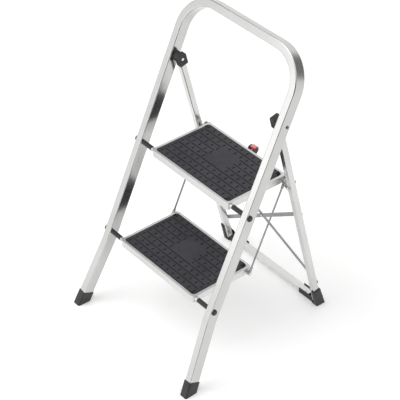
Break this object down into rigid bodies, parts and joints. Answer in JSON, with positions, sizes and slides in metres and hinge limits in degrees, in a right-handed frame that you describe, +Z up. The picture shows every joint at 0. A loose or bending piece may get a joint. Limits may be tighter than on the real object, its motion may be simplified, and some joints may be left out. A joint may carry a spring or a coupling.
{
  "type": "folding step stool",
  "caption": "Folding aluminium step stool with rubber-matted treads, a tubular hand rail, a hinged rear frame, link rods and a push-button latch.",
  "frame": {"origin": "on the floor, at the middle of the footprint of the open stool", "axes": "+X to the right seen from the front, +Y to the rear, +Z up"},
  "size_m": [0.4558, 0.4948, 0.7964],
  "materials": {
    "rail_aluminium": "satin polished tube",
    "tray_aluminium": "satin pressed sheet",
    "leg_aluminium": "mill finish tube",
    "brace_steel": "zinc plated flat bar",
    "wire_steel": "zinc plated",
    "bracket_steel": "zinc plated",
    "fastener_steel": "bright plated",
    "dark_screw": "blackened",
    "black_plastic": "fine grained moulding",
    "red_plastic": "gloss moulding",
    "tread_rubber": "matt ribbed rubber"
  },
  "bodies": {
    "front_frame": {"front_foot_left": "black_plastic", "front_foot_right": "black_plastic", "handrail_bow": "rail_aluminium", "hinge_pin_left": "fastener_steel", "hinge_pin_right": "fastener_steel", "hinge_spacer_left": "black_plastic", "hinge_spacer_right": "black_plastic", "lower_axle": "fastener_steel", "lower_axle_bush_left": "fastener_steel", "lower_axle_bush_right": "fastener_steel", "lower_axle_cap_left": "black_plastic", "lower_axle_cap_right": "black_plastic", "lower_axle_sleeve_left": "black_plastic", "lower_axle_sleeve_right": "black_plastic", "upper_axle": "fastener_steel", "upper_axle_bush_left": "fastener_steel", "upper_axle_bush_right": "fastener_steel", "upper_axle_cap_left": "black_plastic", "upper_axle_cap_right": "black_plastic", "upper_axle_sleeve_left": "black_plastic", "upper_axle_sleeve_right": "black_plastic"},
    "rear_frame": {"brace_left_up": "brace_steel", "brace_right_up": "brace_steel", "brace_rivets": "fastener_steel", "crossbar": "leg_aluminium", "crossbar_rivets": "fastener_steel", "hinge_cap_left": "black_plastic", "hinge_cap_right": "black_plastic", "rear_leg_left": "leg_aluminium", "rear_leg_right": "leg_aluminium", "rear_shoe_left": "black_plastic", "rear_shoe_right": "black_plastic", "stud_bracket_left": "bracket_steel", "stud_bracket_right": "bracket_steel", "stud_screws_left": "dark_screw", "stud_screws_right": "dark_screw", "tread_stud_left": "fastener_steel", "tread_stud_right": "fastener_steel"},
    "upper_tread": {"hook_rivets_left": "fastener_steel", "hook_rivets_right": "fastener_steel", "latch_housing": "black_plastic", "latch_spring": "wire_steel", "support_hook_left": "bracket_steel", "support_hook_right": "bracket_steel", "upper_link_pin_left": "fastener_steel", "upper_link_pin_right": "fastener_steel", "upper_mat": "tread_rubber", "upper_tray": "tray_aluminium"},
    "lower_tread": {"lower_link_pin_left": "fastener_steel", "lower_link_pin_right": "fastener_steel", "lower_mat": "tread_rubber", "lower_tray": "tray_aluminium"},
    "left_link": {"link_rod_left": "wire_steel"},
    "right_link": {"link_rod_right": "wire_steel"},
    "latch": {"latch_catch_left": "wire_steel", "latch_catch_right": "wire_steel", "latch_lever": "wire_steel", "latch_shaft": "wire_steel"},
    "button": {"release_button": "red_plastic"}
  },
  "joints": [
    {"name": "rear_frame_fold", "type": "hinge", "parent": "front_frame", "child": "rear_frame", "pos_m": [0, 0.06648, 0.63432], "axis": [1, 0, 0], "range_deg": [-38, 0]},
    {"name": "upper_tread_fold", "type": "hinge", "parent": "front_frame", "child": "upper_tread", "pos_m": [0, -0.0402, 0.42964], "axis": [1, 0, 0], "range_deg": [0, 61]},
    {"name": "lower_tread_fold", "type": "hinge", "parent": "front_frame", "child": "lower_tread", "pos_m": [0, -0.14366, 0.20316], "axis": [1, 0, 0], "range_deg": [0, 61]},
    {"name": "left_link_swing", "type": "hinge", "parent": "upper_tread", "child": "left_link", "pos_m": [-0.148, 0.12021, 0.424], "axis": [1, 0, 0], "range_deg": [-61, 0]},
    {"name": "right_link_swing", "type": "hinge", "parent": "upper_tread", "child": "right_link", "pos_m": [0.148, 0.12021, 0.424], "axis": [1, 0, 0], "range_deg": [-61, 0]},
    {"name": "latch_turn", "type": "hinge", "parent": "upper_tread", "child": "latch", "pos_m": [0, 0.14351, 0.41635], "axis": [1, 0, 0], "range_deg": [0, 16], "stiffness_Nm_per_rad": 0.05, "springref_deg": -22.92},
    {"name": "button_push", "type": "slide", "parent": "upper_tread", "child": "button", "axis": [0, -1, 0], "range_m": [0, 0.003]}
  ],
  "couplings": [
    {"joint": "upper_tread_fold", "follows": "rear_frame_fold", "ratio": -1.6053},
    {"joint": "lower_tread_fold", "follows": "rear_frame_fold", "ratio": -1.6053},
    {"joint": "left_link_swing", "follows": "rear_frame_fold", "ratio": 1.6053},
    {"joint": "right_link_swing", "follows": "rear_frame_fold", "ratio": 1.6053},
    {"joint": "button_push", "follows": "latch_turn", "m_per_rad": 0.010742}
  ]
}
